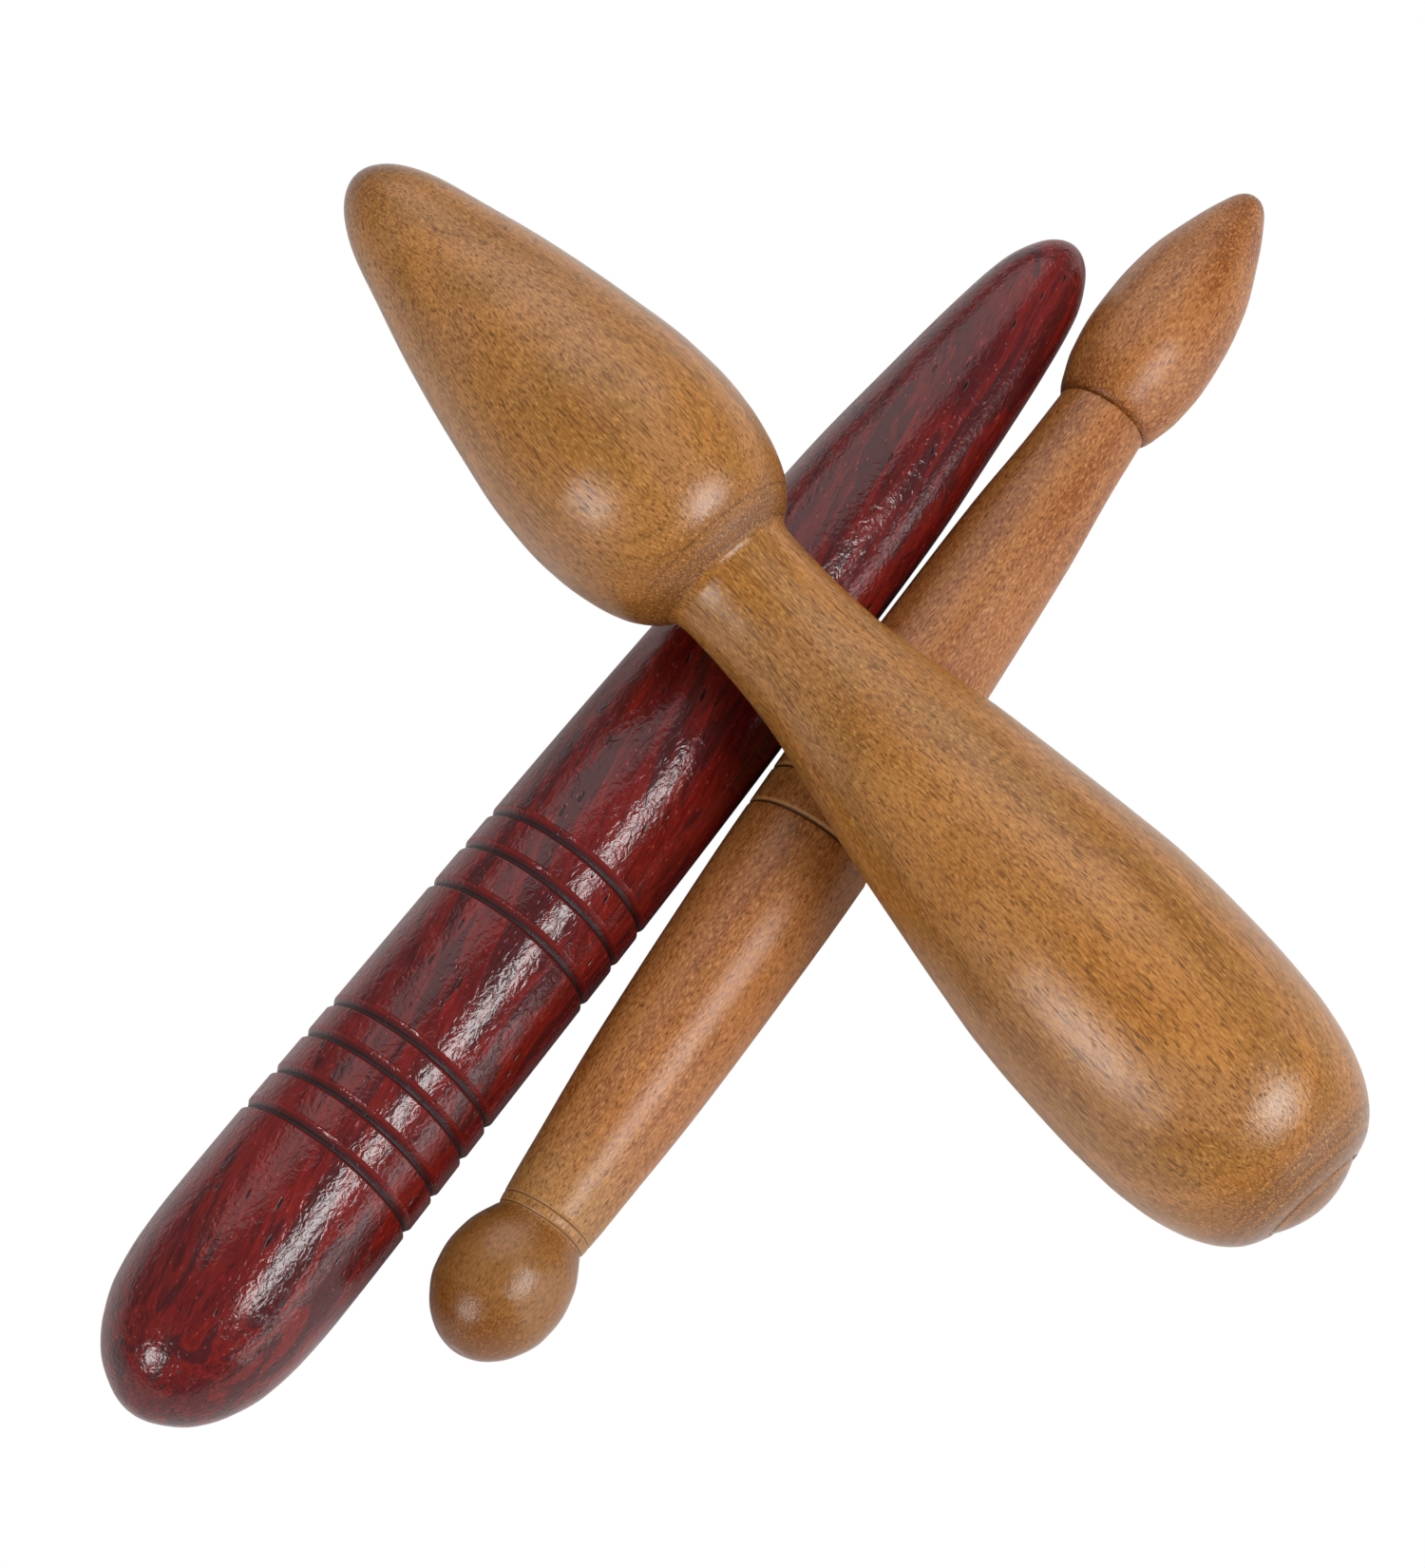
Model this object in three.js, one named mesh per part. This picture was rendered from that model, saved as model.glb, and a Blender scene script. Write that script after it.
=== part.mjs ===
// Three turned wooden sticks lying crossed: a ringed one and a slim one side by side on the table, and a
// gourd-shaped one laid across them. Millimetres, +Z up, with the origin under the middle of the group.
import * as THREE from "three";

// ---- Driving dimensions ----

const SIDES = 32; // flat sides round each stick
const STEPS_PER_STRETCH = 2; // rings between two stations of an outline

// An outline is a list of smooth stretches, and a stretch is a list of [distance along the stick, radius].
// Two stretches meet at a sharp turned edge.

const RINGED_LENGTH = 164.9;
const RINGED_OUTLINE = [
  [
    [0, 0],
    [1, 3.4],
    [3, 6.1],
    [6, 8.2],
    [10, 9.75],
    [15, 10.5],
    [20, 10.7],
    [50, 10.3],
    [80, 9.9],
    [105, 9.25],
    [126, 8.55],
    [140, 7.4],
    [150, 6.4],
    [158, 5.2],
    [162.5, 3.35],
    [RINGED_LENGTH, 0],
  ],
];
const RING_GROOVES = [31.9, 36.6, 41.6, 45.8, 62.5, 67.8, 72.4]; // middles of the grooves, along the stick
const RING_GROOVE = { width: 1.4, depth: 0.7 };

const SLIM_LENGTH = 156.9;
const SLIM_BALL_END = 14.7;
const SLIM_HEAD_START = 124.8;
const SLIM_OUTLINE = [
  [
    [0, 1.2],
    [1, 3.4],
    [3, 5.35],
    [6, 6.75],
    [8.7, 7.05],
    [11.5, 6.65],
    [SLIM_BALL_END, 5.25],
  ],
  [
    [SLIM_BALL_END + 0.4, 5.0],
    [SLIM_BALL_END + 0.8, 5.1],
    [24, 5.85],
    [36, 6.7],
    [50, 7.22],
    [64, 7.52],
    [78, 7.55],
    [90, 7.08],
    [108, 6.3],
    [118, 5.5],
    [SLIM_HEAD_START, 5.15],
  ],
  [
    [SLIM_HEAD_START + 0.2, 4.95],
    [SLIM_HEAD_START + 0.4, 5.4],
    [127.5, 6.35],
    [130, 7.0],
    [134.5, 7.42],
    [139, 7.22],
    [144, 6.5],
    [150, 4.6],
    [154, 2.95],
    [SLIM_LENGTH - 0.2, 1.2],
    [SLIM_LENGTH, 0.75],
  ],
];
const SLIM_GROOVES = [65.9, 70.6]; // two fine rings cut round the middle
const SLIM_GROOVE = { width: 0.6, depth: 0.3 };

const GOURD_LENGTH = 147.8;
const GOURD_NECK = 58.7;
const GOURD_RIM = 147; // where the butt rounds over to the groove round the nub
const GOURD_OUTLINE = [
  [
    [0, 0],
    [0.8, 2.3],
    [2.5, 4.0],
    [6, 5.9],
    [12, 7.75],
    [20, 10],
    [30, 12.15],
    [38, 13.45],
    [43, 13.7],
    [47, 13.4],
    [51, 12.6],
    [54.5, 11.3],
    [57.1, 9.5],
    [GOURD_NECK, 7.35],
  ],
  [
    [GOURD_NECK, 7.35],
    [65, 7.37],
    [72, 7.8],
    [80, 9.15],
    [88, 10.75],
    [97, 12.2],
    [106, 13.55],
    [112, 14.3],
    [118, 14.62],
    [124, 14.7],
    [131, 14.4],
    [136, 13.65],
    [140, 12.4],
    [143, 10.75],
    [145, 8.85],
    [146.3, 6.8],
    [GOURD_RIM, 5.1],
  ],
  [
    [GOURD_RIM - 0.3, 4.75],
    [GOURD_RIM + 0.1, 4.6],
    [147.4, 3.3],
    [147.7, 1.6],
    [GOURD_LENGTH, 0],
  ],
];

// Where each stick's first end lies on the table, which way it points, and how far it tips up from level.
// The ringed and slim sticks touch the table. The gourd stick lies over both at its own height.
const RINGED_PLACE = { x: -58.5, y: -72.4, heading: 53.5, tip: -1.0 };
const SLIM_PLACE = { x: -26.0, y: -65.0, heading: 56.9, tip: 0.0 };
const GOURD_PLACE = { x: -37.4, y: 55.6, heading: -47.75, tip: -6.0, height: 33.45 };

const WINE_RED_ROSEWOOD = new THREE.MeshStandardMaterial({ color: 0x5b1218, roughness: 0.28, metalness: 0 });
const TAN_HARDWOOD = new THREE.MeshStandardMaterial({ color: 0xa5693e, roughness: 0.42, metalness: 0 });
const GOLDEN_HARDWOOD = new THREE.MeshStandardMaterial({ color: 0xa9712f, roughness: 0.38, metalness: 0 });

// ---- Turning ----

// The slopes of the squared radius at each station, flattened where the outline turns from swell to waist.
function stationSlopes(stations) {
  const rise = stations.slice(1).map(([along, radius], i) => {
    const [alongBefore, radiusBefore] = stations[i];
    return (radius ** 2 - radiusBefore ** 2) / (along - alongBefore);
  });
  return stations.map((_, i) => {
    if (i === 0) return rise[0];
    if (i === stations.length - 1) return rise[i - 1];
    if (rise[i - 1] * rise[i] <= 0) return 0;
    return (2 * rise[i - 1] * rise[i]) / (rise[i - 1] + rise[i]);
  });
}

// Points on one stretch. Its squared radius is a smooth cubic in the distance along the stick, so that a
// stretch that ends on the axis comes out round there.
function turnStretch(stations) {
  const slopes = stationSlopes(stations);
  const radiusAt = (i, t) => {
    const [from, to] = [stations[i], stations[i + 1]];
    const span = to[0] - from[0];
    const squared =
      (2 * t ** 3 - 3 * t ** 2 + 1) * from[1] ** 2 +
      (t ** 3 - 2 * t ** 2 + t) * span * slopes[i] +
      (3 * t ** 2 - 2 * t ** 3) * to[1] ** 2 +
      (t ** 3 - t ** 2) * span * slopes[i + 1];
    return Math.sqrt(Math.max(squared, 0));
  };
  const points = [];
  for (let i = 0; i < stations.length - 1; i++) {
    const span = stations[i + 1][0] - stations[i][0];
    for (let step = 0; step < STEPS_PER_STRETCH; step++) {
      const t = step / STEPS_PER_STRETCH;
      points.push(new THREE.Vector2(radiusAt(i, t), stations[i][0] + t * span));
    }
  }
  const [lastAlong, lastRadius] = stations[stations.length - 1];
  points.push(new THREE.Vector2(lastRadius, lastAlong));
  return points;
}

// The radius of an outline of points at a distance along the stick.
function outlineRadius(points, along) {
  const after = points.findIndex((point) => point.y > along);
  const [low, high] = [points[after - 1], points[after]];
  return THREE.MathUtils.mapLinear(along, low.y, high.y, low.x, high.x);
}

// Cuts round-bottomed grooves into an outline of points.
function cutGrooves(points, middles, { width, depth }) {
  const section = [
    [-0.5, 0],
    [-0.28, 0.85],
    [0, 1],
    [0.28, 0.85],
    [0.5, 0],
  ];
  const clear = points.filter((point) => middles.every((middle) => Math.abs(point.y - middle) > width));
  const cuts = middles.flatMap((middle) =>
    section.map(([across, down]) => {
      const along = middle + across * width;
      return new THREE.Vector2(outlineRadius(points, along) - down * depth, along);
    }),
  );
  return [...clear, ...cuts].sort((a, b) => a.y - b.y);
}

// A whole outline, closed on the axis at both ends and with neighbouring equal points left out.
function turnOutline(stretches) {
  const points = stretches.flatMap(turnStretch);
  if (points[0].x > 0) points.unshift(new THREE.Vector2(0, points[0].y));
  if (points[points.length - 1].x > 0) points.push(new THREE.Vector2(0, points[points.length - 1].y));
  return points.filter((point, i) => i === 0 || point.distanceTo(points[i - 1]) > 1e-6);
}

// The height of the first end that lets a tipped stick's lowest point touch the table.
function restingHeight(points, tip) {
  return Math.max(...points.map((point) => point.x * Math.cos(tip) - point.y * Math.sin(tip)));
}

// A stick turned round the lathe's Y axis, then laid down along its heading.
function layStick(name, points, material, place) {
  const stick = new THREE.Mesh(new THREE.LatheGeometry(points, SIDES), material);
  const tip = THREE.MathUtils.degToRad(place.tip);
  stick.name = name;
  stick.rotation.order = "ZYX";
  stick.rotation.set(tip, 0, THREE.MathUtils.degToRad(place.heading - 90));
  stick.position.set(place.x, place.y, place.height ?? restingHeight(points, tip));
  return stick;
}

// ---- The three sticks ----

function ringedStick() {
  const points = cutGrooves(turnOutline(RINGED_OUTLINE), RING_GROOVES, RING_GROOVE);
  return layStick("ringed_stick", points, WINE_RED_ROSEWOOD, RINGED_PLACE);
}

function slimStick() {
  const points = cutGrooves(turnOutline(SLIM_OUTLINE), SLIM_GROOVES, SLIM_GROOVE);
  return layStick("slim_stick", points, TAN_HARDWOOD, SLIM_PLACE);
}

function gourdStick() {
  return layStick("gourd_stick", turnOutline(GOURD_OUTLINE), GOLDEN_HARDWOOD, GOURD_PLACE);
}

const sticks = new THREE.Group();
sticks.add(ringedStick(), slimStick(), gourdStick());

// The origin goes under the middle of the group's box, on the table.
const box = new THREE.Box3().setFromObject(sticks, true);
const middle = box.getCenter(new THREE.Vector3());
const placed = new THREE.Group();
sticks.position.set(-middle.x, -middle.y, -box.min.z);
placed.add(sticks);

export default placed;
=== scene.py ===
"""Three turned hardwood sticks lying crossed on a white table: a wine-red ringed one and a slim
ball-ended one side by side, and a gourd-shaped one laid across them. Metres, in the part's frame."""

import math

import bmesh
import bpy
from mathutils import Euler, Matrix, Vector


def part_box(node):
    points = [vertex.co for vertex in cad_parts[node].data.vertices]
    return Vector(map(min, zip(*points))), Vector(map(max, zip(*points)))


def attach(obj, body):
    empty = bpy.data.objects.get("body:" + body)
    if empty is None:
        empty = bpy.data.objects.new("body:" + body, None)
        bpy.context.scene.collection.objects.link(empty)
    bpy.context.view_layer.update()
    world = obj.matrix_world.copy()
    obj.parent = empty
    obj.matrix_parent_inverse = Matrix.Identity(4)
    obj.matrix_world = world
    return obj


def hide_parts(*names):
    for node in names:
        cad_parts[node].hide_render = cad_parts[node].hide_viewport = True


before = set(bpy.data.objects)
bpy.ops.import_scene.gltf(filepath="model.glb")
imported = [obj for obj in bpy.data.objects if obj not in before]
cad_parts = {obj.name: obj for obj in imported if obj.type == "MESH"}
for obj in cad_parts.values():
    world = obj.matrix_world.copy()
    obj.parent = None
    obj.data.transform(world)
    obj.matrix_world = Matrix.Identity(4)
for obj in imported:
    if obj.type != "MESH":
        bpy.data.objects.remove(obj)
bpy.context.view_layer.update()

MM = 0.001
SEGMENTS = 128  # round each stick
STEP = 0.36  # millimetres between two rings of a stick's mesh
SAME_POINT = 1e-4  # two outline points this near, in millimetres, are one
WELD = 1e-6  # two mesh points this near, in metres, are one
SHARP_EDGE = math.radians(38)  # faces that turn by more than this meet at a sharp turned edge

# ---- Outlines, in millimetres ----
# An outline is a list of smooth stretches, and a stretch is a list of (distance along the stick,
# radius). Two stretches meet at a turned edge. A groove is (middle, width, depth).

RINGED_OUTLINE = [
    [(0, 0), (1, 3.4), (3, 6.1), (6, 8.2), (10, 9.75), (15, 10.5), (20, 10.7), (50, 10.3),
     (80, 9.9), (105, 9.25), (126, 8.55), (140, 7.4), (150, 6.4), (158, 5.2), (162.5, 3.35),
     (164.9, 0)],
]
RING_GROOVE = (1.5, 0.5)
RING_GROOVES = [(middle, *RING_GROOVE) for middle in (31.9, 36.6, 41.6, 45.8, 62.5, 67.8, 72.4)]

SLIM_LENGTH = 156.9
SLIM_BALL_END = 14.7
SLIM_HEAD_START = 124.8
SLIM_OUTLINE = [
    [(0, 0), (0, 1.2)],
    [(0, 1.2), (1, 3.4), (3, 5.35), (6, 6.75), (8.7, 7.05), (11.5, 6.65), (SLIM_BALL_END, 5.25)],
    [(SLIM_BALL_END + 0.4, 5.0), (SLIM_BALL_END + 0.8, 5.1), (24, 5.85), (36, 6.7), (50, 7.22),
     (64, 7.52), (78, 7.55), (90, 7.08), (108, 6.3), (118, 5.5), (SLIM_HEAD_START, 5.15)],
    [(SLIM_HEAD_START + 0.2, 4.95), (SLIM_HEAD_START + 0.4, 5.4), (127.5, 6.35), (130, 7.0),
     (134.5, 7.42), (139, 7.22), (144, 6.5), (150, 4.6), (154, 2.95), (156.7, 1.2),
     (SLIM_LENGTH, 0.75)],
    [(SLIM_LENGTH, 0.75), (SLIM_LENGTH, 0)],
]
NECK_LINE = (0.4, 0.1)
MIDDLE_LINE = (0.8, 0.22)
SLIM_GROOVES = [(15.35, *NECK_LINE), (16.5, *NECK_LINE), (65.9, *MIDDLE_LINE),
                (70.6, *MIDDLE_LINE)]

GOURD_NECK = 58.5  # where the bulb runs into the neck
GOURD_RIM = 146.2  # where the butt rounds over to the undercut ring round the nub
GOURD_OUTLINE = [
    [(0, 0), (0.8, 2.3), (2.5, 4.0), (6, 5.9), (12, 7.75), (20, 10), (30, 12.15), (38, 13.45),
     (43, 13.7), (47, 13.4), (51, 12.6), (54.5, 11.3), (57.1, 9.4), (GOURD_NECK, 7.75),
     (59.6, 7.42), (61.5, 7.33), (65, 7.37), (72, 7.8), (80, 9.15), (88, 10.75), (97, 12.2),
     (106, 13.55), (112, 14.3), (118, 14.62), (124, 14.7), (131, 14.4), (136, 13.65),
     (140, 12.4), (143, 10.75), (145, 8.8), (145.8, 7.35), (GOURD_RIM, 6.2)],
    [(GOURD_RIM, 6.2), (GOURD_RIM - 0.6, 5.85)],
    [(GOURD_RIM - 0.6, 5.85), (GOURD_RIM + 0.1, 5.5)],
    [(GOURD_RIM + 0.1, 5.5), (146.8, 4.5), (147.4, 2.8), (147.7, 1.4), (147.8, 0)],
]

# How each stick lies, in degrees: the way it points on the table, and how far its far end tips up.
RINGED_LIE = {"heading": 53.5, "tip": -1.0}
SLIM_LIE = {"heading": 56.9, "tip": 0.0}
GOURD_LIE = {"heading": -47.75, "tip": -6.0}

GROOVE_DETAIL = 5  # times closer together that points lie near a groove
GROOVE_LEAN = 0.2  # how far a groove's bottom lies off its middle, as a share of its width
GROOVE_CURVE = 1.5  # a groove's section: 1 would be a plain V, 2 a round bottom
UNDERCUT = 0.4  # millimetres of step back that count as a groove's full depth


# ---- Turning ----

def station_slopes(stations):
    """The slope of the squared radius at each station, flat where swell turns to waist."""
    rises = []
    for start, end in zip(stations, stations[1:]):
        span = end[0] - start[0]
        rises.append((end[1] ** 2 - start[1] ** 2) / span if span else 0)
    slopes = [rises[0]]
    for before, after in zip(rises, rises[1:]):
        slopes.append(0 if before * after <= 0 else 2 * before * after / (before + after))
    return slopes + [rises[-1]]


def stretch_points(stations):
    """Closely spaced (along, radius) points on one smooth stretch. The squared radius is a smooth
    cubic, so that a stretch that ends on the axis comes out round there."""
    slopes = station_slopes(stations)
    points = []
    for i, (start, end) in enumerate(zip(stations, stations[1:])):
        span = end[0] - start[0]
        steps = max(2, round(math.hypot(span, end[1] - start[1]) / STEP))
        for step in range(steps):
            t = step / steps
            squared = ((2 * t ** 3 - 3 * t ** 2 + 1) * start[1] ** 2
                       + (t ** 3 - 2 * t ** 2 + t) * span * slopes[i]
                       + (3 * t ** 2 - 2 * t ** 3) * end[1] ** 2
                       + (t ** 3 - t ** 2) * span * slopes[i + 1])
            points.append((start[0] + t * span, math.sqrt(max(squared, 0))))
    return points + [stations[-1]]


def groove_cut(along, grooves):
    """How deep a point is cut into a groove, in millimetres, and as a share from lip to bottom.
    The tool leans, so the wall on the first end's side is the steeper one."""
    for middle, width, depth in grooves:
        low, high = middle - width / 2, middle + width / 2
        bottom = middle - GROOVE_LEAN * width
        if low < along < high:
            wall = bottom - low if along < bottom else high - bottom
            share = 1 - (abs(along - bottom) / wall) ** GROOVE_CURVE
            return share * depth, share
    return 0, 0


def outline_points(outline, grooves):
    """The whole outline as (along, radius, groove share), with extra points near the grooves. A
    point that steps back along the stick lies in an undercut and counts as groove too."""
    points = []
    for stretch in outline:
        for point in stretch_points(stretch):
            if not points or math.dist(points[-1], point) >= SAME_POINT:
                points.append(point)
    cut = []
    furthest = 0
    for start, end in zip(points, points[1:] + points[-1:]):
        near_groove = any(abs(start[0] - middle) < width for middle, width, _ in grooves)
        steps = GROOVE_DETAIL if near_groove else 1
        for step in range(steps):
            along = start[0] + (end[0] - start[0]) * step / steps
            radius = start[1] + (end[1] - start[1]) * step / steps
            down, share = groove_cut(along, grooves)
            furthest = max(furthest, along)
            undercut = min((furthest - along) / UNDERCUT, 1)
            cut.append((along, radius - down, max(share, undercut)))
    return cut


def put_in_scene(name, data):
    """An object that holds a mesh, a light or a camera, put in the scene."""
    made = bpy.data.objects.new(name, data)
    bpy.context.scene.collection.objects.link(made)
    return made


def turn_stick(name, outline, grooves, lie, node, body, finish):
    """A stick spun round its own axis, laid down where its CAD node lies, riding on its body."""
    bm = bmesh.new()
    groove = bm.verts.layers.float.new("groove")
    profile = []
    for along, radius, share in outline_points(outline, grooves):
        vert = bm.verts.new((radius * MM, along * MM, 0))
        vert[groove] = share
        profile.append(vert)
    edges = [bm.edges.new(pair) for pair in zip(profile, profile[1:])]
    underneath = Matrix.Rotation(math.pi / 2, 3, "Y")  # where the spin starts and closes
    bmesh.ops.rotate(bm, verts=profile, matrix=underneath)
    bmesh.ops.spin(bm, geom=profile + edges, cent=(0, 0, 0), axis=(0, 1, 0), angle=math.tau,
                   steps=SEGMENTS, use_merge=True)
    bmesh.ops.remove_doubles(bm, verts=bm.verts, dist=WELD)
    bmesh.ops.recalc_face_normals(bm, faces=bm.faces)
    turned = Euler((math.radians(lie["tip"]), 0, math.radians(lie["heading"] - 90)))
    laid = turned.to_matrix().to_4x4()
    bmesh.ops.transform(bm, verts=bm.verts, matrix=laid)
    low = Vector(min(vert.co[i] for vert in bm.verts) for i in range(3))
    high = Vector(max(vert.co[i] for vert in bm.verts) for i in range(3))
    cad_low, cad_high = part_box(node)
    first_end = (cad_low + cad_high - low - high) / 2
    bmesh.ops.translate(bm, verts=bm.verts, vec=first_end)
    for face in bm.faces:
        face.smooth = True
    mesh = bpy.data.meshes.new(name)
    bm.to_mesh(mesh)
    bm.free()
    mesh.set_sharp_from_angle(angle=SHARP_EDGE)
    mesh.materials.append(finish(first_end, laid.to_euler()))
    stick = put_in_scene(name, mesh)
    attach(stick, body)
    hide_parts(node)


# ---- Finishes ----

COAT_IOR = 1.46  # oil, wax and lacquer alike
PORE_SINK = -0.8  # how far a pore's floor lies below the wood, as a share of the relief
END_GRAIN_BEGINS, END_GRAIN_FULL = 0.12, 0.85  # 0 faces away from the stick's ends, 1 faces one
MIX_SHARE, MIX_UNDER, MIX_OVER, MIX_COLOUR = 0, 6, 7, 2  # a Mix node's colour sockets


def colour(text):
    """An sRGB hex colour as linear red, green, blue and alpha."""
    parts = [int(text[i:i + 2], 16) / 255 for i in (0, 2, 4)]
    linear = [part / 12.92 if part <= 0.04045 else ((part + 0.055) / 1.055) ** 2.4
              for part in parts]
    return linear + [1]


def add(tree, kind, inputs=None, out=0, **settings):
    """Adds a node and gives back one of its outputs. An input given as a socket is linked, any
    other is set. Sockets that share a name go by their number."""
    node = tree.nodes.new("ShaderNode" + kind)
    for name, value in settings.items():
        setattr(node, name, value)
    for socket, value in (inputs or {}).items():
        if isinstance(value, bpy.types.NodeSocket):
            tree.links.new(value, node.inputs[socket])
        else:
            node.inputs[socket].default_value = value
    return node.outputs[out] if node.outputs else None


def start_material(name, first_end, turn):
    """A material, its tree, its stick space (millimetres: Y along the stick, Z up, X across), and
    how deep in a groove a spot lies."""
    material = bpy.data.materials.new(name)
    material.use_nodes = True
    tree = material.node_tree
    tree.nodes.clear()
    place = add(tree, "Mapping", {"Vector": add(tree, "TexCoord", out="Object"),
                                  "Location": first_end, "Rotation": turn,
                                  "Scale": (MM, MM, MM)}, vector_type="TEXTURE")
    groove = add(tree, "Attribute", out="Fac", attribute_name="groove")
    return material, tree, place, groove


def end_grain_share(tree, turn):
    """How much a spot faces along the stick, where the wood shows its end grain."""
    along = turn.to_matrix() @ Vector((0, 1, 0))
    facing = add(tree, "VectorMath", {0: add(tree, "TexCoord", out="Normal"), 1: along},
                 out="Value", operation="DOT_PRODUCT")
    either_end = add(tree, "Math", {0: facing}, operation="ABSOLUTE")
    return add(tree, "MapRange", {"Value": either_end, "From Min": END_GRAIN_BEGINS,
                                  "From Max": END_GRAIN_FULL}, interpolation_type="SMOOTHSTEP")


def grain(tree, place, across, along, detail=2.0, roughness=0.5, distortion=0.0):
    """An uneven pattern with one patch every so many millimetres across the grain and along it."""
    scaled = add(tree, "VectorMath", {0: place, 1: (1 / across, 1 / along, 1 / across)},
                 operation="MULTIPLY")
    return add(tree, "TexNoise", {"Vector": scaled, "Scale": 1.0, "Detail": detail,
                                  "Roughness": roughness, "Distortion": distortion})


def open_pores(tree, place, across, along, half_width):
    """1 inside scattered slits: one slit every so many millimetres across the grain and along it,
    its half-width a share of that spacing."""
    scaled = add(tree, "VectorMath", {0: place, 1: (1 / across, 1 / along, 1 / across)},
                 operation="MULTIPLY")
    near = add(tree, "TexVoronoi", {"Vector": scaled, "Scale": 1.0})
    return add(tree, "MapRange", {"Value": near, "From Min": half_width,
                                  "From Max": half_width * 0.5}, interpolation_type="SMOOTHSTEP")


def stain(tree, surface, pattern, clear, full, tint, strength=1.0):
    """Lays a tint over a surface where a pattern goes from one level, clear, to another, full."""
    share = add(tree, "MapRange", {"Value": pattern, "From Min": clear, "From Max": full,
                                   "To Max": strength}, interpolation_type="SMOOTHSTEP")
    return add(tree, "Mix", {MIX_SHARE: share, MIX_UNDER: surface, MIX_OVER: colour(tint)},
               out=MIX_COLOUR, data_type="RGBA")


def growth_rings(tree, place, pith, lean, wander, width):
    """Growth rings as bands of uneven width round the tree's pith, which leans against the stick.
    They wander over so many millimetres."""
    wave_across, wave_along = 8, 24
    scaled = add(tree, "VectorMath", {0: place, 1: (1 / wave_across, 1 / wave_along,
                                                    1 / wave_across)}, operation="MULTIPLY")
    wavy = add(tree, "TexNoise", {"Vector": scaled, "Scale": 1.0, "Detail": 1.5}, out="Color")
    shift = add(tree, "VectorMath", {0: wavy, 1: (0.5, 0.5, 0.5)}, operation="SUBTRACT")
    moved = add(tree, "VectorMath", {0: shift, 1: (wander, 0, wander), 2: place},
                operation="MULTIPLY_ADD")
    turned = add(tree, "Mapping", {"Vector": moved, "Location": pith, "Rotation": lean},
                 vector_type="TEXTURE")
    flat = add(tree, "VectorMath", {0: turned, 1: (1, 0, 1)}, operation="MULTIPLY")
    radius = add(tree, "VectorMath", {0: flat}, out="Value", operation="LENGTH")
    return add(tree, "TexNoise", {"W": radius, "Scale": 1 / width, "Detail": 4.0,
                                  "Roughness": 0.65}, noise_dimensions="1D")


def finish_material(tree, surface, height, relief, roughness):
    """Closes a material: its colour, its relief of so many millimetres, and how rough its oil, wax
    or lacquer is."""
    bump = add(tree, "Bump", {"Height": height, "Distance": relief * MM, "Strength": 1.0})
    shader = add(tree, "BsdfPrincipled", {"Base Color": surface, "Normal": bump,
                                          "Roughness": roughness, "IOR": COAT_IOR})
    add(tree, "OutputMaterial", {"Surface": shader})


def wine_red_rosewood(first_end, turn):
    """Rosewood turned, stained wine red and brushed with gloss lacquer: smooth dark veins edged
    with bright red in slanting interlocked grain, open pores as dark slits, tiny pale dashes where
    lacquer bridges a pore, and a coat whose ripple breaks up the light. Real fibres are finer than
    0.1 mm, and are drawn 0.24 mm across so that they show."""
    material, tree, place, groove = start_material("wine_red_rosewood_lacquered", first_end, turn)
    slant = (0, 0, math.radians(-12))
    slanted = add(tree, "Mapping", {"Vector": place, "Rotation": slant})
    zones = grain(tree, place, across=11, along=16, detail=1.0)
    veins = grain(tree, slanted, across=2.8, along=30, detail=3.5, roughness=0.55, distortion=0.8)
    flames = grain(tree, slanted, across=0.9, along=7, detail=4.0, roughness=0.6, distortion=1.2)
    fibres = grain(tree, slanted, across=0.24, along=2.2)
    pores = open_pores(tree, slanted, across=1.3, along=6.5, half_width=0.15)
    bridged = open_pores(tree, slanted, across=0.7, along=1.9, half_width=0.17)
    ripple = grain(tree, place, across=0.85, along=1.4, distortion=1.4)
    surface = stain(tree, colour("4e0d10"), zones, clear=0.38, full=0.62, tint="63110e")
    surface = stain(tree, surface, flames, clear=0.52, full=0.74, tint="821a15", strength=0.9)
    surface = stain(tree, surface, flames, clear=0.46, full=0.28, tint="350a0d")
    surface = stain(tree, surface, veins, clear=0.43, full=0.52, tint="7c1c17", strength=0.5)
    surface = stain(tree, surface, veins, clear=0.51, full=0.6, tint="3d1014", strength=0.85)
    weave = add(tree, "MapRange", {"Value": fibres, "From Min": 0.3, "From Max": 0.7,
                                   "To Min": 0.25, "To Max": 0.75})
    surface = add(tree, "Mix", {MIX_SHARE: 0.5, MIX_UNDER: surface, MIX_OVER: weave},
                  out=MIX_COLOUR, data_type="RGBA", blend_type="OVERLAY")
    surface = stain(tree, surface, bridged, clear=0.2, full=1.0, tint="9c4038", strength=0.7)
    surface = stain(tree, surface, pores, clear=0.0, full=1.0, tint="120506")
    # Painted light in the ring grooves: a painted highlight on the lips, then painted shade that
    # deepens to a near-black line at each groove's bottom.
    surface = stain(tree, surface, groove, clear=0.02, full=0.15, tint="7d1d16", strength=0.6)
    surface = stain(tree, surface, groove, clear=0.2, full=0.7, tint="431013", strength=0.8)
    surface = stain(tree, surface, groove, clear=0.72, full=0.95, tint="1f0709")
    height = add(tree, "Math", {0: pores, 1: PORE_SINK, 2: ripple}, operation="MULTIPLY_ADD")
    gloss = add(tree, "MapRange", {"Value": groove, "From Min": 0.6, "From Max": 0.95,
                                   "To Min": 0.17, "To Max": 0.5})
    finish_material(tree, surface, height, relief=0.08, roughness=gloss)
    return material


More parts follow.
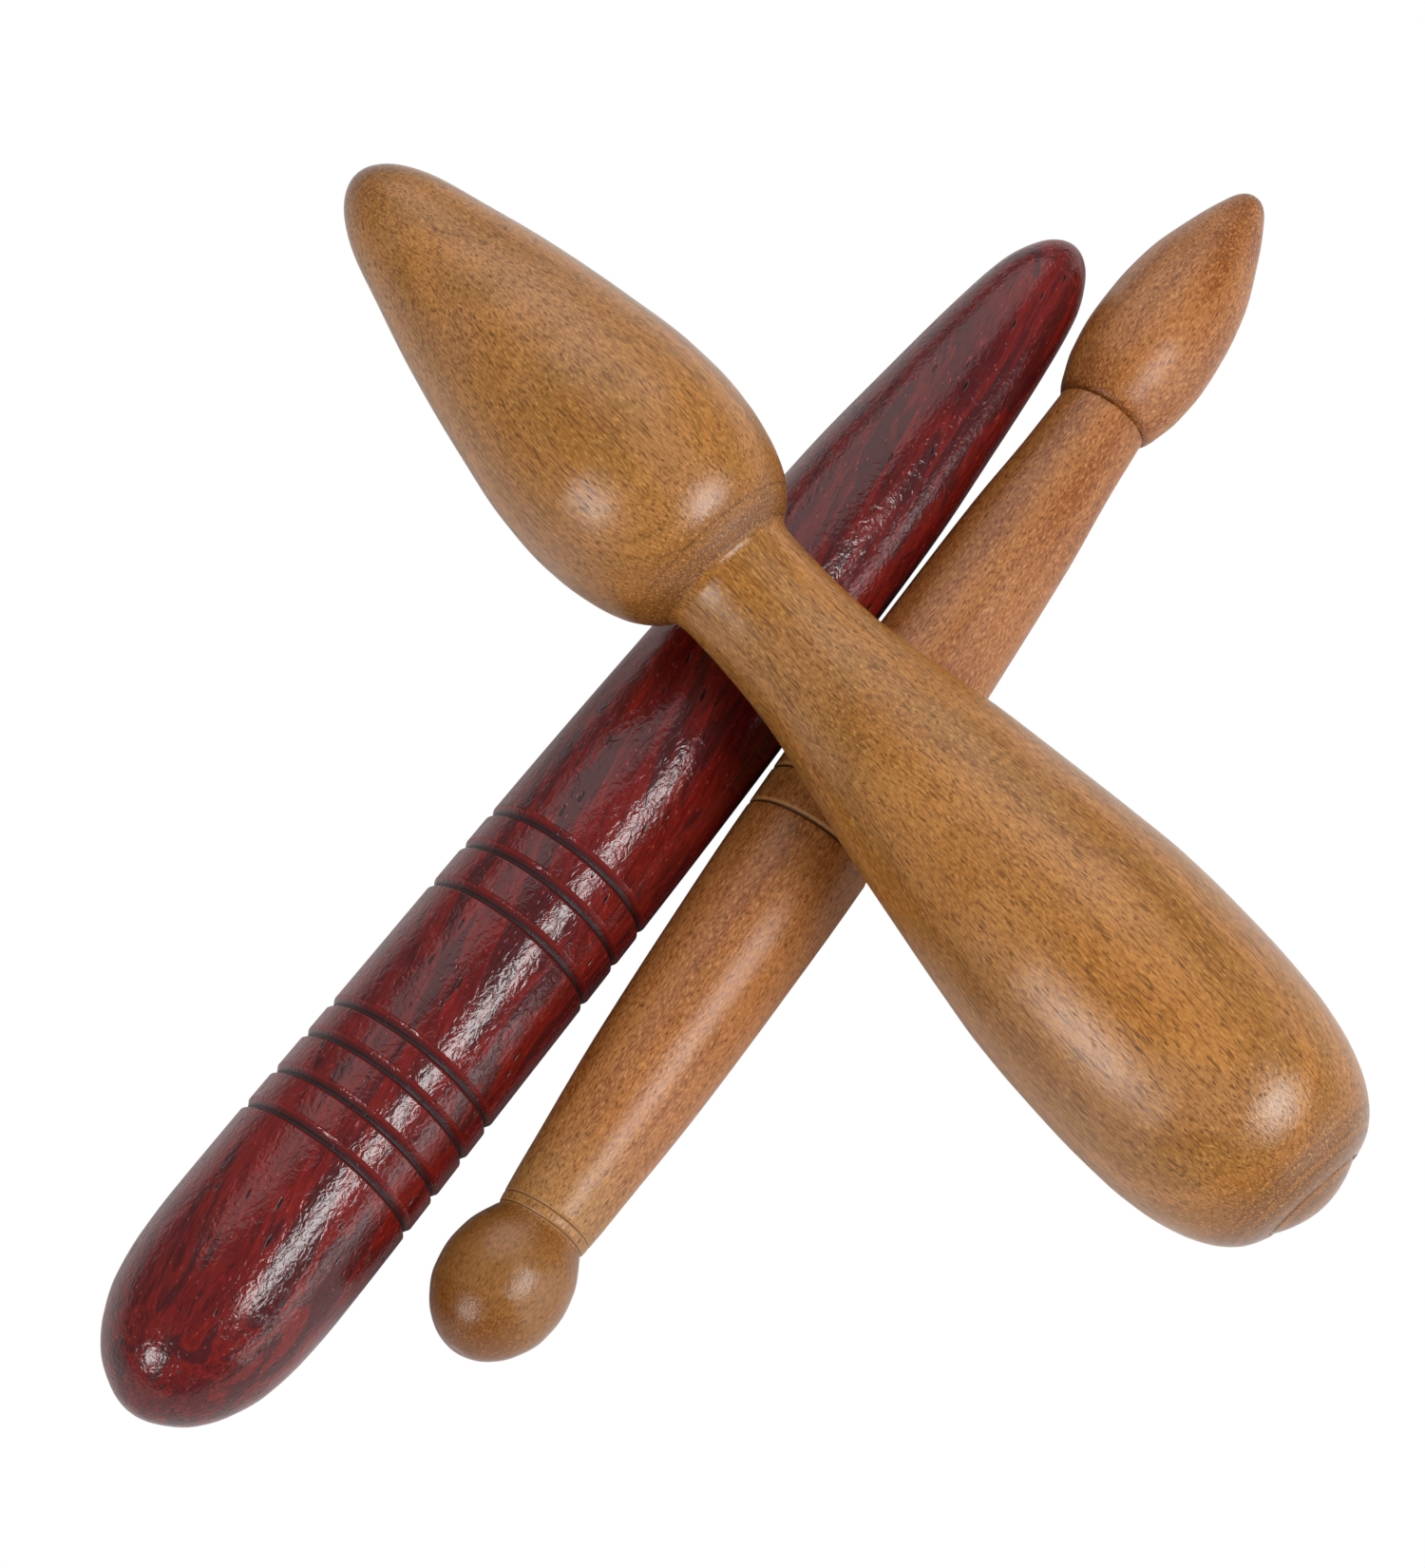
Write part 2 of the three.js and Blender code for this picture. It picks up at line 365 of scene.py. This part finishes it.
def tan_hardwood(first_end, turn):
    """Fine, even-pored hardwood, turned, sanded and oiled: pinkish tan with a close short fleck,
    long faint darker streaks, a paler collar and a soft satin gleam. Its ball and its head take up
    more oil and go darker, and the ball shines more. The real fleck is finer than 0.1 mm, and is
    drawn 0.21 mm across so that it shows."""
    material, tree, place, groove = start_material("tan_hardwood_oiled", first_end, turn)
    end_grain = end_grain_share(tree, turn)
    length = add(tree, "SeparateXYZ", {"Vector": place}, out="Y")
    fleck = grain(tree, place, across=0.21, along=0.7, detail=3.0, roughness=0.7)
    streaks = grain(tree, place, across=2.4, along=36, detail=4.0, distortion=0.3)
    ball_side, collar_side = SLIM_BALL_END - 0.3, SLIM_BALL_END + 0.3
    surface = stain(tree, colour("ab6d38"), streaks, clear=0.35, full=0.7, tint="905121")
    surface = stain(tree, surface, length, clear=30, full=16.5, tint="a07a46", strength=0.6)
    surface = stain(tree, surface, end_grain, clear=0, full=1, tint="7c4415", strength=0.9)
    surface = stain(tree, surface, fleck, clear=0.5, full=0.68, tint="c68a52", strength=0.9)
    surface = stain(tree, surface, fleck, clear=0.5, full=0.32, tint="5c3011", strength=0.9)
    surface = stain(tree, surface, length, clear=collar_side, full=ball_side, tint="70400f",
                    strength=0.5)
    # Painted light in the grooves: a painted highlight along the lips, and painted shade in the
    # groove bottoms.
    surface = stain(tree, surface, groove, clear=0.02, full=0.3, tint="b98a58", strength=0.6)
    surface = stain(tree, surface, groove, clear=0.6, full=0.9, tint="4c2c15", strength=0.85)
    oiled = add(tree, "MapRange", {"Value": length, "From Min": ball_side,
                                   "From Max": collar_side, "To Min": 0.13, "To Max": 0.25})
    finish_material(tree, surface, fleck, relief=0.05, roughness=oiled)
    return material


def golden_hardwood(first_end, turn):
    """Fine golden-brown hardwood, turned, sanded and waxed: soft orange and grey-brown patches,
    growth rings that close into ovals over the swell, close dark pores along the grain, fine tool
    rings where it is turned across the grain, and a satin wax that fine pores break into specks.
    The real fleck is finer than 0.1 mm, and is drawn 0.19 mm across so that it shows."""
    material, tree, place, groove = start_material("golden_hardwood_waxed", first_end, turn)
    end_grain = end_grain_share(tree, turn)
    pith = (-8, 40, -26)
    lean = (math.radians(5), 0, 0)
    tool_rings_per_mm = 2.2
    fine_rings = growth_rings(tree, place, pith, lean, wander=4.0, width=1.2)
    broad_rings = growth_rings(tree, place, pith, lean, wander=4.0, width=4.2)
    zones = grain(tree, place, across=9, along=15)
    fleck = grain(tree, place, across=0.19, along=0.8, detail=3.0, roughness=0.7)
    fibres = grain(tree, place, across=0.24, along=3.6, roughness=0.6)
    pores = open_pores(tree, place, across=0.42, along=2.2, half_width=0.2)
    length = add(tree, "SeparateXYZ", {"Vector": place}, out="Y")
    tool_rings = add(tree, "TexNoise", {"W": length, "Scale": tool_rings_per_mm, "Detail": 2.0},
                     noise_dimensions="1D")
    tooled = add(tree, "Math", {0: tool_rings, 1: end_grain}, operation="MULTIPLY")
    surface = stain(tree, colour("b77b3f"), broad_rings, clear=0.38, full=0.64, tint="9d6b30")
    surface = stain(tree, surface, fine_rings, clear=0.45, full=0.72, tint="8e5823", strength=0.6)
    surface = stain(tree, surface, zones, clear=0.5, full=0.68, tint="a8754a", strength=0.6)
    surface = stain(tree, surface, zones, clear=0.5, full=0.32, tint="a86a26", strength=0.6)
    surface = stain(tree, surface, end_grain, clear=0, full=1, tint="7c4a1c", strength=0.7)
    surface = stain(tree, surface, tooled, clear=0.3, full=0.6, tint="5c3816", strength=0.7)
    surface = stain(tree, surface, fleck, clear=0.5, full=0.7, tint="cb9150", strength=0.9)
    surface = stain(tree, surface, fleck, clear=0.5, full=0.28, tint="6a3f19", strength=0.9)
    surface = stain(tree, surface, fibres, clear=0.54, full=0.66, tint="69401a", strength=0.75)
    surface = stain(tree, surface, pores, clear=0, full=1, tint="5a3717", strength=0.9)
    # Painted shade in the undercut ring round the nub.
    surface = stain(tree, surface, groove, clear=0.2, full=0.9, tint="4a2a10")
    height = add(tree, "Math", {0: pores, 1: PORE_SINK, 2: fleck}, operation="MULTIPLY_ADD")
    finish_material(tree, surface, height, relief=0.045, roughness=0.16)
    return material


turn_stick("ringed_stick_turned", RINGED_OUTLINE, RING_GROOVES, RINGED_LIE,
           "ringed_stick", "ringed_stick", wine_red_rosewood)
turn_stick("slim_stick_turned", SLIM_OUTLINE, SLIM_GROOVES, SLIM_LIE,
           "slim_stick", "slim_stick", tan_hardwood)
turn_stick("gourd_stick_turned", GOURD_OUTLINE, [], GOURD_LIE,
           "gourd_stick", "gourd_stick", golden_hardwood)

# ---- Table, light and camera, in metres ----

TARGET = Vector((-0.00227, 0.00341, 0))  # where the camera and the softboxes point
CAMERA_ELEVATION = math.radians(68)
CAMERA_DISTANCE = 0.6002
CAMERA_LENS = 141.6  # millimetres, as is the sensor's width
SENSOR_WIDTH = 36
SHEET_HALF_WIDTH = 10
TABLE_HEIGHT = -0.0002  # just clear of the sticks' undersides
BACKDROP_HEIGHT = -0.0003
SURROUND_LIGHT = 0.28  # how strongly the white room all round lights the sticks


def white_sheet(name, height, reflected, glowing):
    """A large flat white sheet: how much light it sends back, and how much it gives off."""
    bm = bmesh.new()
    bmesh.ops.create_grid(bm, x_segments=1, y_segments=1, size=SHEET_HALF_WIDTH)
    bmesh.ops.translate(bm, verts=bm.verts, vec=(0, 0, height))
    mesh = bpy.data.meshes.new(name)
    bm.to_mesh(mesh)
    bm.free()
    sheet = put_in_scene(name, mesh)
    material = bpy.data.materials.new(name)
    material.use_nodes = True
    shader = material.node_tree.nodes["Principled BSDF"]
    shader.inputs["Base Color"].default_value = (reflected, reflected, reflected, 1)
    shader.inputs["Roughness"].default_value = 0.9
    shader.inputs["Emission Color"].default_value = (1, 1, 1, 1)
    shader.inputs["Emission Strength"].default_value = glowing
    mesh.materials.append(material)
    return sheet


def softbox(name, direction, long_way, distance, length, width, watts):
    """A rectangular softbox that faces the sticks, its length laid along long_way."""
    light = bpy.data.lights.new(name, "AREA")
    light.shape = "RECTANGLE"
    light.size = length
    light.size_y = width
    light.energy = watts
    lamp = put_in_scene(name, light)
    back = Vector(direction).normalized()
    side = (Vector(long_way) - Vector(long_way).dot(back) * back).normalized()
    facing = Matrix((side, back.cross(side), back)).transposed().to_4x4()
    lamp.matrix_world = Matrix.Translation(TARGET + back * distance) @ facing


world = bpy.data.worlds.new("white_surround")
world.use_nodes = True
world.node_tree.nodes["Background"].inputs["Color"].default_value = (1, 1, 1, 1)
world.node_tree.nodes["Background"].inputs["Strength"].default_value = SURROUND_LIGHT
bpy.context.scene.world = world
bpy.context.scene.view_settings.view_transform = "Standard"

# Two sheets make the floor. The table sends light up under the sticks, and the camera doesn't see
# it. The backdrop is all that the camera sees, so no shadow shows.
table = white_sheet("matt_white_table", TABLE_HEIGHT, reflected=0.85, glowing=0)
table.visible_camera = False
backdrop = white_sheet("plain_white_backdrop", BACKDROP_HEIGHT, reflected=0, glowing=1)
backdrop.visible_diffuse = False
backdrop.visible_glossy = False
backdrop.visible_transmission = False
backdrop.visible_shadow = False

# The right and left softboxes lay the bright streaks along the sticks, the low one lights their
# near right sides, and the wide one behind them fills in.
softbox("softbox_right", direction=(0.61, -0.27, 0.74), long_way=(0.6, 0.75, 0.1),
        distance=0.9, length=0.5, width=0.2, watts=4.8)
softbox("softbox_left", direction=(-0.66, -0.58, 0.48), long_way=(0.7, -0.6, 0.2),
        distance=0.9, length=0.26, width=0.2, watts=2.4)
softbox("softbox_back", direction=(0, 0.7, 0.7), long_way=(1, 0, 0),
        distance=1.2, length=1.2, width=1.2, watts=5.4)
softbox("softbox_low_right", direction=(0.84, -0.5, 0.14), long_way=(0.5, 0.84, 0),
        distance=0.9, length=0.9, width=0.2, watts=1.8)

camera_data = bpy.data.cameras.new("camera")
camera_data.sensor_fit = "HORIZONTAL"
camera_data.sensor_width = SENSOR_WIDTH
camera_data.lens = CAMERA_LENS
camera = put_in_scene("camera", camera_data)
toward_camera = Vector((0, -math.cos(CAMERA_ELEVATION), math.sin(CAMERA_ELEVATION)))
camera.location = TARGET + toward_camera * CAMERA_DISTANCE
camera.rotation_euler = (math.pi / 2 - CAMERA_ELEVATION, 0, 0)
bpy.context.scene.camera = camera
